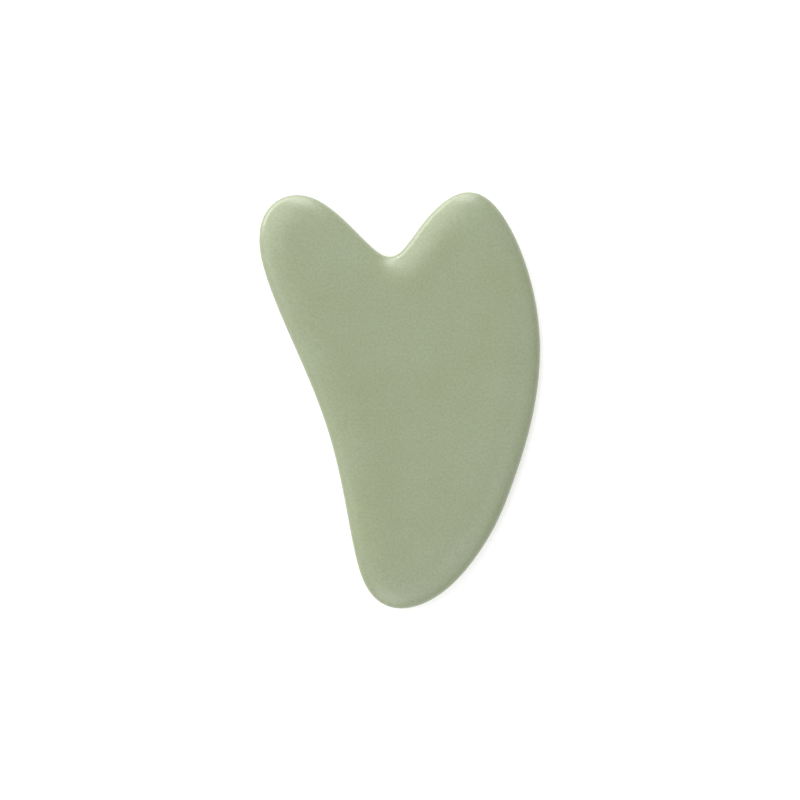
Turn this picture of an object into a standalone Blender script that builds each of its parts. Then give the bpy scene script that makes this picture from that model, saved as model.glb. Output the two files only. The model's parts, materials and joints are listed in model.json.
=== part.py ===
"""A heart-shaped gua sha scraper: one flat piece of stone, rounded all along its edge.

Metres, +Z up. The stone lies flat on its lower face. The origin is on that face, at the
centre of the outline's box. The two lobes point to +Y, the larger one at +X, and the
tail points to -Y.
"""

from itertools import pairwise
from math import cos, pi, sin

import bmesh
import bpy
from mathutils import Vector

MM = 0.001

# Driving dimensions
LENGTH = 80 * MM  # along Y, from the tail to the top of the larger lobe
WIDTH = 54 * MM  # along X
THICKNESS = 5 * MM  # along Z, between the two flat faces
SHOULDER = 7.5 * MM  # how far in from the edge the flat faces start
SHOULDER_EASE = 0.9  # 1 rounds the shoulder as an ellipse; less eases it into the flat face

# Corners of the polygon whose closed cubic B-spline is the outline, counter-clockwise, in
# millimetres. The outline is then stretched by a hair to fill WIDTH by LENGTH exactly.
OUTLINE_CORNERS_MM = [
    (2.8, 33.6),  # larger lobe, side that falls into the notch
    (-1.8, 22.6),  # notch
    (-16.6, 44.4),  # smaller lobe, top
    (-33.6, 33.8),  # smaller lobe, outer corner
    (-10.4, -5.6),  # hollow side
    (-9.2, -41.2),  # tail, corner on the hollow side
    (6.6, -40.6),  # tail, corner on the full side
    (16.8, -27.8),  # full side, foot
    (21.2, -18.6),  # full side, lower flank
    (30.8, 12.2),  # full side, widest part
    (17.0, 46.6),  # larger lobe, top
]
OUTLINE_STEPS = 14  # points on the outline for each corner
SHOULDER_STEPS = 10  # rows from the edge to each flat face

SAGE_GREEN = (0.25, 0.286, 0.175, 1)
POLISH_ROUGHNESS = 0.31


def clear_objects():
    for old in list(bpy.data.objects):
        bpy.data.objects.remove(old)


def smooth_loop(corners):
    """Return points in order along the closed cubic B-spline of a polygon's corners."""
    curve = bpy.data.curves.new("outline", "CURVE")
    curve.dimensions = "2D"
    curve.fill_mode = "NONE"
    spline = curve.splines.new("NURBS")
    spline.points.add(len(corners) - 1)
    for point, corner in zip(spline.points, corners):
        point.co = (corner.x, corner.y, 0, 1)
    spline.order_u = 4
    spline.use_cyclic_u = True
    spline.resolution_u = OUTLINE_STEPS
    guide = bpy.data.objects.new("outline", curve)
    bpy.context.scene.collection.objects.link(guide)
    depsgraph = bpy.context.evaluated_depsgraph_get()
    mesh = bpy.data.meshes.new_from_object(guide.evaluated_get(depsgraph))
    points = [vertex.co.xy for vertex in mesh.vertices]
    bpy.data.meshes.remove(mesh)
    bpy.data.curves.remove(curve)
    return points


def fitted_corners():
    """Return the outline's corners, stretched so that it fills WIDTH by LENGTH."""
    corners = [Vector(corner) * MM for corner in OUTLINE_CORNERS_MM]
    loop = smooth_loop(corners)
    low = Vector(map(min, zip(*loop)))
    high = Vector(map(max, zip(*loop)))
    centre = (low + high) / 2
    stretch = Vector((WIDTH / (high.x - low.x), LENGTH / (high.y - low.y)))
    return [(corner - centre) * stretch for corner in corners]


def drawn_in(corners, distance):
    """Return a closed polygon's corners moved inwards.

    A convex corner is mitred, so its two sides move in by the whole distance. A concave
    corner moves by the distance itself, which keeps the notch's shoulder no wider.
    """
    moved = []
    for index, corner in enumerate(corners):
        arriving = (corner - corners[index - 1]).normalized()
        leaving = (corners[(index + 1) % len(corners)] - corner).normalized()
        heading = (arriving + leaving).normalized()
        reach = distance
        if arriving.cross(leaving) > 0:
            reach = distance / arriving.dot(heading)
        inwards = Vector((-heading.y, heading.x))
        moved.append(corner + reach * inwards)
    return moved


def upper_half_mesh():
    """Loft the edge of the stone up to its flat face, and close that face."""
    corners = fitted_corners()
    edge = smooth_loop(corners)
    face = smooth_loop(drawn_in(corners, SHOULDER))
    shape = bmesh.new()
    rows = []
    for step in range(SHOULDER_STEPS + 1):
        angle = pi / 2 * step / SHOULDER_STEPS
        inset = 1 - cos(angle) ** SHOULDER_EASE
        height = THICKNESS / 2 * sin(angle)
        row = [outer.lerp(inner, inset) for outer, inner in zip(edge, face)]
        rows.append([shape.verts.new((*point, height)) for point in row])
    for lower, upper in pairwise(rows):
        for index in range(len(lower)):
            shape.faces.new((lower[index - 1], lower[index], upper[index], upper[index - 1]))
    shape.faces.new(rows[-1])
    mesh = bpy.data.meshes.new("scraper_stone")
    shape.to_mesh(mesh)
    shape.free()
    mesh.shade_smooth()
    return mesh


def stone_material():
    material = bpy.data.materials.new("stone")
    material.use_nodes = True
    surface = material.node_tree.nodes["Principled BSDF"]
    surface.inputs["Base Color"].default_value = SAGE_GREEN
    surface.inputs["Roughness"].default_value = POLISH_ROUGHNESS
    surface.inputs["Metallic"].default_value = 0
    return material


def add_stone(parts):
    """Add the whole stone: its upper half, and the same half mirrored below."""
    mesh = upper_half_mesh()
    mesh.materials.append(stone_material())
    stone = bpy.data.objects.new("scraper_stone", mesh)
    stone.location.z = THICKNESS / 2
    halves = stone.modifiers.new("lower half", "MIRROR")
    halves.use_axis = (False, False, True)
    halves.merge_threshold = 0.0001
    parts.objects.link(stone)


def main():
    clear_objects()
    parts = bpy.data.collections.new("gua_sha_scraper")
    bpy.context.scene.collection.children.link(parts)
    add_stone(parts)


main()
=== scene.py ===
"""The looks of a heart-shaped gua sha stone: sage green, satin polished, seen from above.

Metres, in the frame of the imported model: +Z up out of the upper face, lobes to +Y.
"""

import json
from math import cos, pi, radians, sin

import bmesh
import bpy
import numpy as np
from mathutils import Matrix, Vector, noise

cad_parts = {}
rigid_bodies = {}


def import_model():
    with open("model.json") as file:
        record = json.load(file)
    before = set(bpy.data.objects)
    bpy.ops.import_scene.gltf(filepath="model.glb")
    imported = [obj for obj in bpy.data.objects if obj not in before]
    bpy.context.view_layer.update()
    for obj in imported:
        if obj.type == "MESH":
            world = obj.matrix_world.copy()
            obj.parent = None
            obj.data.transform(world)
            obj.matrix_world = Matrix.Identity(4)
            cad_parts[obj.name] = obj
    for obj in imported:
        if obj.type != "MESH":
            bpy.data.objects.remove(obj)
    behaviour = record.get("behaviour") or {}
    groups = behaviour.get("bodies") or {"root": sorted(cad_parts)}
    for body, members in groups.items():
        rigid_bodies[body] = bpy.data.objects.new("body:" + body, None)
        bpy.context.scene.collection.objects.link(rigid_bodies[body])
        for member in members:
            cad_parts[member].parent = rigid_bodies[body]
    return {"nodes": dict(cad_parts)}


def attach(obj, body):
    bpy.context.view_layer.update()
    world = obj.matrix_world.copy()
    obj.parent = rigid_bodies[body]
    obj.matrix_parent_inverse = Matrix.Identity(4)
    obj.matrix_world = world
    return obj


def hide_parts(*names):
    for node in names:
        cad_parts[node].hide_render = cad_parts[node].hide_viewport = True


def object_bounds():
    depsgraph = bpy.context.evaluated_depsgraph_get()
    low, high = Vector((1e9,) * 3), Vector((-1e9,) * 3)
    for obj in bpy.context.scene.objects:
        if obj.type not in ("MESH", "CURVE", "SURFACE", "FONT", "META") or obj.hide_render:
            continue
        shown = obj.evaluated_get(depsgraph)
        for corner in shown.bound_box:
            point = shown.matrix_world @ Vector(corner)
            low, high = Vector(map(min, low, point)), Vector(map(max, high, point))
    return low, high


MM = 0.001

# Mesh of the stone
HUB = Vector((2 * MM, 12 * MM))  # every row of the stone is in plain sight from this point
RIBS = 720  # ribs around the stone
STEPS_PER_RIB = 40  # how finely a row is measured before the ribs are spaced along it
FACE_RINGS = 12  # steps across each flat face, from its border to the hub
WAVE_DEPTH = 0.03 * MM  # how far hand polishing dips below the ideal surface
WAVE_LENGTH = 14 * MM

# Stone material
DEEP_SAGE = (0.225, 0.258, 0.147, 1)
PALE_SAGE = (0.237, 0.272, 0.169, 1)
CLOUD_SIZE = 11 * MM  # soft cloudy patches in the stone
GRAIN_SIZE = 0.45 * MM  # fine mineral grain
GRAIN_CONTRAST = 0.09  # how much the grain darkens and lightens the colour
GRAIN_RELIEF = 0.001 * MM  # how deep the grain is
SMEAR_SIZE = 5 * MM  # patches that took the polish a little better or worse
ROUGHNESS_RANGE = (0.315, 0.365)
NOISE_RANGE = (0.3, 0.7)  # nearly all the values of a noise texture lie between these
STONE_IOR = 1.7
GLOW_WEIGHT = 0.15  # share of the diffuse light that goes under the surface
GLOW_DEPTH = 1.2 * MM  # how far that light wanders
GLOW_TINT = (1, 1, 0.7)  # blue wanders less far than red and green

# Camera
LENS_MM = 100
SENSOR_MM = 36
VIEW_WIDTH = 153.7 * MM  # width of what the camera sees, at half the stone's height
CAMERA_OFFSET = Vector((0.07 * MM, 0.055 * MM, 0))  # from straight above the stone's middle

# Table
TABLE_SIZE = 6
TABLE_WHITE = (0.9, 0.9, 0.9, 1)
TABLE_ROUGHNESS = 0.9
TABLE_GLOW = 0.2  # the table gives off a little light of its own, which softens the shadow

# Studio lights
WORLD_BRIGHTNESS = 0.6
SOFT_BOX_DISTANCE = 0.55  # from the stone
STRIP = (0.28, 0.13)  # widths and heights of soft boxes
SQUARE = (0.28, 0.28)
WIDE = (0.42, 0.42)
SOFT_BOXES = {  # azimuth and elevation in degrees, size, and brightness
    "key_top": (90, 7, STRIP, 4.4),
    "key_corner": (120, 8, STRIP, 8.4),
    "key_left": (150, 8, STRIP, 8.4),
    "fill_top": (90, 30, SQUARE, 4.15),
    "fill_high_left": (138, 50, WIDE, 1.5),
    "fill_left": (180, 30, SQUARE, 1.9),
    "fill_low_left": (-112, 34, WIDE, 1.75),
    "fill_low_right": (-60, 50, WIDE, 0.75),
    "fill_right": (0, 50, WIDE, 0.55),
}


def clear_scene():
    for old in list(bpy.data.objects):
        bpy.data.objects.remove(old)


# ---------------------------------------------------------------- the stone's shape


def cad_rows(node):
    """Return [(height, points)] of a CAD node's horizontal rows, lowest first.

    The rounding makes one point of all the vertices that the node has in one place.
    """
    rows = {}
    for vertex in node.data.vertices:
        height = round(vertex.co.z, 6)
        point = (round(vertex.co.x, 7), round(vertex.co.y, 7))
        rows.setdefault(height, set()).add(point)
    return sorted(rows.items())


def polar(points):
    """Return the angles about the hub of a row's points, in order, and their distances."""
    offsets = np.array(sorted(points)) - np.array(HUB)
    angles = np.arctan2(offsets[:, 1], offsets[:, 0])
    order = np.argsort(angles)
    return angles[order], np.hypot(*offsets.T)[order]


def closed_spline(angles, radii, wanted):
    """Return the radii at the wanted angles of a closed cubic spline through the points."""
    count = len(angles)
    gaps = np.diff(np.append(angles, angles[0] + 2 * pi))
    slopes = np.diff(np.append(radii, radii[0])) / gaps
    system = np.zeros((count, count))
    here = np.arange(count)
    system[here, here - 1] = gaps[here - 1]
    system[here, here] = 2 * (gaps[here - 1] + gaps)
    system[here, (here + 1) % count] = gaps
    bends = np.linalg.solve(system, 6 * (slopes - slopes[here - 1]))
    wanted = (wanted - angles[0]) % (2 * pi) + angles[0]
    span = np.searchsorted(angles, wanted, side="right") - 1
    after = (span + 1) % count
    gap = gaps[span]
    ahead = angles[span] + gap - wanted
    behind = wanted - angles[span]
    cubic = (bends[span] * ahead**3 + bends[after] * behind**3) / (6 * gap)
    straight = (radii[span] / gap - bends[span] * gap / 6) * ahead
    straight += (radii[after] / gap - bends[after] * gap / 6) * behind
    return cubic + straight


def even_angles(angles, radii):
    """Return RIBS angles whose points lie at even steps along a row."""
    fine = np.linspace(-pi, pi, STEPS_PER_RIB * RIBS + 1)
    reach = closed_spline(angles, radii, fine)
    steps = np.hypot(np.diff(reach * np.cos(fine)), np.diff(reach * np.sin(fine)))
    travelled = np.append(0, np.cumsum(steps))
    return np.interp(np.arange(RIBS) / RIBS * travelled[-1], travelled, fine)


def with_middles(rings):
    """Return the rings with one more between each two, on cubics through their neighbours."""
    padded = np.concatenate([rings[:1], rings, rings[-1:]])
    middles = (9 * (rings[:-1] + rings[1:]) - padded[:-3] - padded[3:]) / 16
    finer = np.empty((2 * len(rings) - 1, *rings.shape[1:]))
    finer[::2] = rings
    finer[1::2] = middles
    return finer


def edge_rings(node):
    """Return rings of points from the border of the lower face, round the edge, to the upper."""
    rows = cad_rows(node)
    middle_row = rows[len(rows) // 2][1]
    angles = even_angles(*polar(middle_row))
    rings = []
    for height, points in rows:
        radii = closed_spline(*polar(points), angles)
        x = HUB.x + radii * np.cos(angles)
        y = HUB.y + radii * np.sin(angles)
        rings.append(np.column_stack([x, y, np.full(RIBS, height)]))
    return with_middles(np.array(rings))


def face_rings(border):
    """Return rings from near the border of a flat face to near its hub, and the hub itself."""
    hub = np.array([*HUB, border[0][2]])
    shares = [1 - step / FACE_RINGS for step in range(1, FACE_RINGS)]
    return [hub + share * (border - hub) for share in shares], hub


def add_face(shape, corners, upper):
    """Add a face that points out of the stone. The lower face's corners come in reverse."""
    shape.faces.new(corners if upper else reversed(corners))


def add_band(shape, outer, inner, upper):
    """Join two rings of vertices with a band of four-sided faces."""
    for rib in range(RIBS):
        corners = (outer[rib - 1], outer[rib], inner[rib], inner[rib - 1])
        add_face(shape, corners, upper)


def close_face(shape, border, upper):
    """Cover a flat face inwards from the vertices of its border."""
    rings, hub = face_rings(np.array([vertex.co for vertex in border]))
    outer = border
    for ring in rings:
        inner = [shape.verts.new(point) for point in ring]
        add_band(shape, outer, inner, upper)
        outer = inner
    middle = shape.verts.new(hub)
    for rib in range(RIBS):
        add_face(shape, (outer[rib - 1], outer[rib], middle), upper)


def hand_polish(mesh):
    """Dip the surface inwards by a hair, in long soft waves."""
    dips = []
    for vertex in mesh.vertices:
        wave = (1 + noise.noise(vertex.co / WAVE_LENGTH)) / 2
        dips.append(vertex.normal * WAVE_DEPTH * wave)
    for vertex, dip in zip(mesh.vertices, dips):
        vertex.co -= dip


def stone_mesh(node):
    """Loft the stone's edge from the CAD node's rows, and cover both flat faces."""
    shape = bmesh.new()
    rings = [[shape.verts.new(point) for point in ring] for ring in edge_rings(node)]
    for lower, upper in zip(rings, rings[1:]):
        add_band(shape, lower, upper, True)
    close_face(shape, rings[0], False)
    close_face(shape, rings[-1], True)
    mesh = bpy.data.meshes.new("polished_stone")
    shape.to_mesh(mesh)
    shape.free()
    hand_polish(mesh)
    mesh.shade_smooth()
    return mesh


def add_stone(node):
    mesh = stone_mesh(node)
    mesh.materials.append(stone_material())
    stone = bpy.data.objects.new("polished_stone", mesh)
    bpy.context.scene.collection.objects.link(stone)
    return stone


# ---------------------------------------------------------------- materials


def new_material(name):
    """Return a new material and its surface node."""
    material = bpy.data.materials.new(name)
    material.use_nodes = True
    return material, material.node_tree.nodes["Principled BSDF"]


def noise_node(tree, size, detail):
    """Return the output of a noise texture whose features are about one size, in metres."""
    place = tree.nodes.new("ShaderNodeTexCoord")
    texture = tree.nodes.new("ShaderNodeTexNoise")
    texture.inputs["Scale"].default_value = 1 / size
    texture.inputs["Detail"].default_value = detail
    tree.links.new(place.outputs["Object"], texture.inputs["Vector"])
    return texture.outputs["Fac"]


def spread(tree, value, low, high):
    """Return a noise value stretched so that nearly all of it spans low to high."""
    node = tree.nodes.new("ShaderNodeMapRange")
    node.inputs["From Min"].default_value = NOISE_RANGE[0]
    node.inputs["From Max"].default_value = NOISE_RANGE[1]
    node.inputs["To Min"].default_value = low
    node.inputs["To Max"].default_value = high
    tree.links.new(value, node.inputs["Value"])
    return node.outputs["Result"]


def clouded_colour(tree):
    """Return the colour of the stone: cloudy patches of two greens."""
    mix = tree.nodes.new("ShaderNodeMix")
    mix.data_type = "RGBA"
    mix.inputs["A"].default_value = DEEP_SAGE
    mix.inputs["B"].default_value = PALE_SAGE
    clouds = spread(tree, noise_node(tree, CLOUD_SIZE, 4), 0, 1)
    tree.links.new(clouds, mix.inputs["Factor"])
    return mix.outputs["Result"]


def grained_colour(tree, colour, grain):
    """Return a colour made a little darker and lighter by the grain."""
    node = tree.nodes.new("ShaderNodeHueSaturation")
    value = spread(tree, grain, 1 - GRAIN_CONTRAST, 1 + GRAIN_CONTRAST)
    tree.links.new(value, node.inputs["Value"])
    tree.links.new(colour, node.inputs["Color"])
    return node.outputs["Color"]


def stone_material():
    """Return fine-grained sage green stone, satin polished, that lets in a little light."""
    material, surface = new_material("sage_stone")
    tree = material.node_tree
    grain = noise_node(tree, GRAIN_SIZE, 3)
    colour = grained_colour(tree, clouded_colour(tree), grain)
    tree.links.new(colour, surface.inputs["Base Color"])
    roughness = spread(tree, noise_node(tree, SMEAR_SIZE, 3), *ROUGHNESS_RANGE)
    tree.links.new(roughness, surface.inputs["Roughness"])
    relief = tree.nodes.new("ShaderNodeBump")
    relief.inputs["Distance"].default_value = GRAIN_RELIEF
    tree.links.new(grain, relief.inputs["Height"])
    tree.links.new(relief.outputs["Normal"], surface.inputs["Normal"])
    surface.inputs["IOR"].default_value = STONE_IOR
    surface.inputs["Subsurface Weight"].default_value = GLOW_WEIGHT
    surface.inputs["Subsurface Radius"].default_value = GLOW_TINT
    surface.inputs["Subsurface Scale"].default_value = GLOW_DEPTH
    return material


def floor_material():
    material, surface = new_material("white_table")
    surface.inputs["Base Color"].default_value = TABLE_WHITE
    surface.inputs["Roughness"].default_value = TABLE_ROUGHNESS
    surface.inputs["Emission Color"].default_value = (1, 1, 1, 1)
    surface.inputs["Emission Strength"].default_value = TABLE_GLOW
    return material


# ---------------------------------------------------------------- the studio


def add_floor():
    bpy.ops.mesh.primitive_plane_add(size=TABLE_SIZE, location=(0, 0, 0))
    floor = bpy.context.object
    floor.name = "floor"
    floor.data.materials.append(floor_material())


def add_world():
    world = bpy.data.worlds.new("studio")
    world.use_nodes = True
    background = world.node_tree.nodes["Background"]
    background.inputs["Color"].default_value = (1, 1, 1, 1)
    background.inputs["Strength"].default_value = WORLD_BRIGHTNESS
    bpy.context.scene.world = world


def add_soft_box(name, azimuth, elevation, size, brightness):
    """Add a light that faces the stone and is equally bright all over."""
    lamp = bpy.data.lights.new(name, "AREA")
    lamp.shape = "RECTANGLE"
    lamp.size, lamp.size_y = size
    lamp.energy = brightness * pi * lamp.size * lamp.size_y
    light = bpy.data.objects.new(name, lamp)
    turn = radians(azimuth)
    rise = radians(elevation)
    direction = Vector((cos(turn) * cos(rise), sin(turn) * cos(rise), sin(rise)))
    light.location = SOFT_BOX_DISTANCE * direction
    light.rotation_euler = (-direction).to_track_quat("-Z", "Y").to_euler()
    light.visible_camera = False
    bpy.context.scene.collection.objects.link(light)


def add_camera(eye_level):
    """Add a camera that looks straight down and sees VIEW_WIDTH at the height eye_level."""
    data = bpy.data.cameras.new("camera")
    data.lens = LENS_MM
    data.sensor_width = SENSOR_MM
    camera = bpy.data.objects.new("camera", data)
    distance = VIEW_WIDTH * LENS_MM / SENSOR_MM
    camera.location = CAMERA_OFFSET + Vector((0, 0, eye_level + distance))
    bpy.context.scene.collection.objects.link(camera)
    bpy.context.scene.camera = camera


def main():
    clear_scene()
    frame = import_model()
    cad_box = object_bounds()
    node = frame["nodes"]["scraper_stone"]
    stone = add_stone(node)
    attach(stone, "root")
    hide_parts("scraper_stone")
    add_floor()
    add_world()
    for name, settings in SOFT_BOXES.items():
        add_soft_box(name, *settings)
    add_camera((cad_box[0].z + cad_box[1].z) / 2)
    bpy.context.scene.view_settings.view_transform = "Standard"


main()
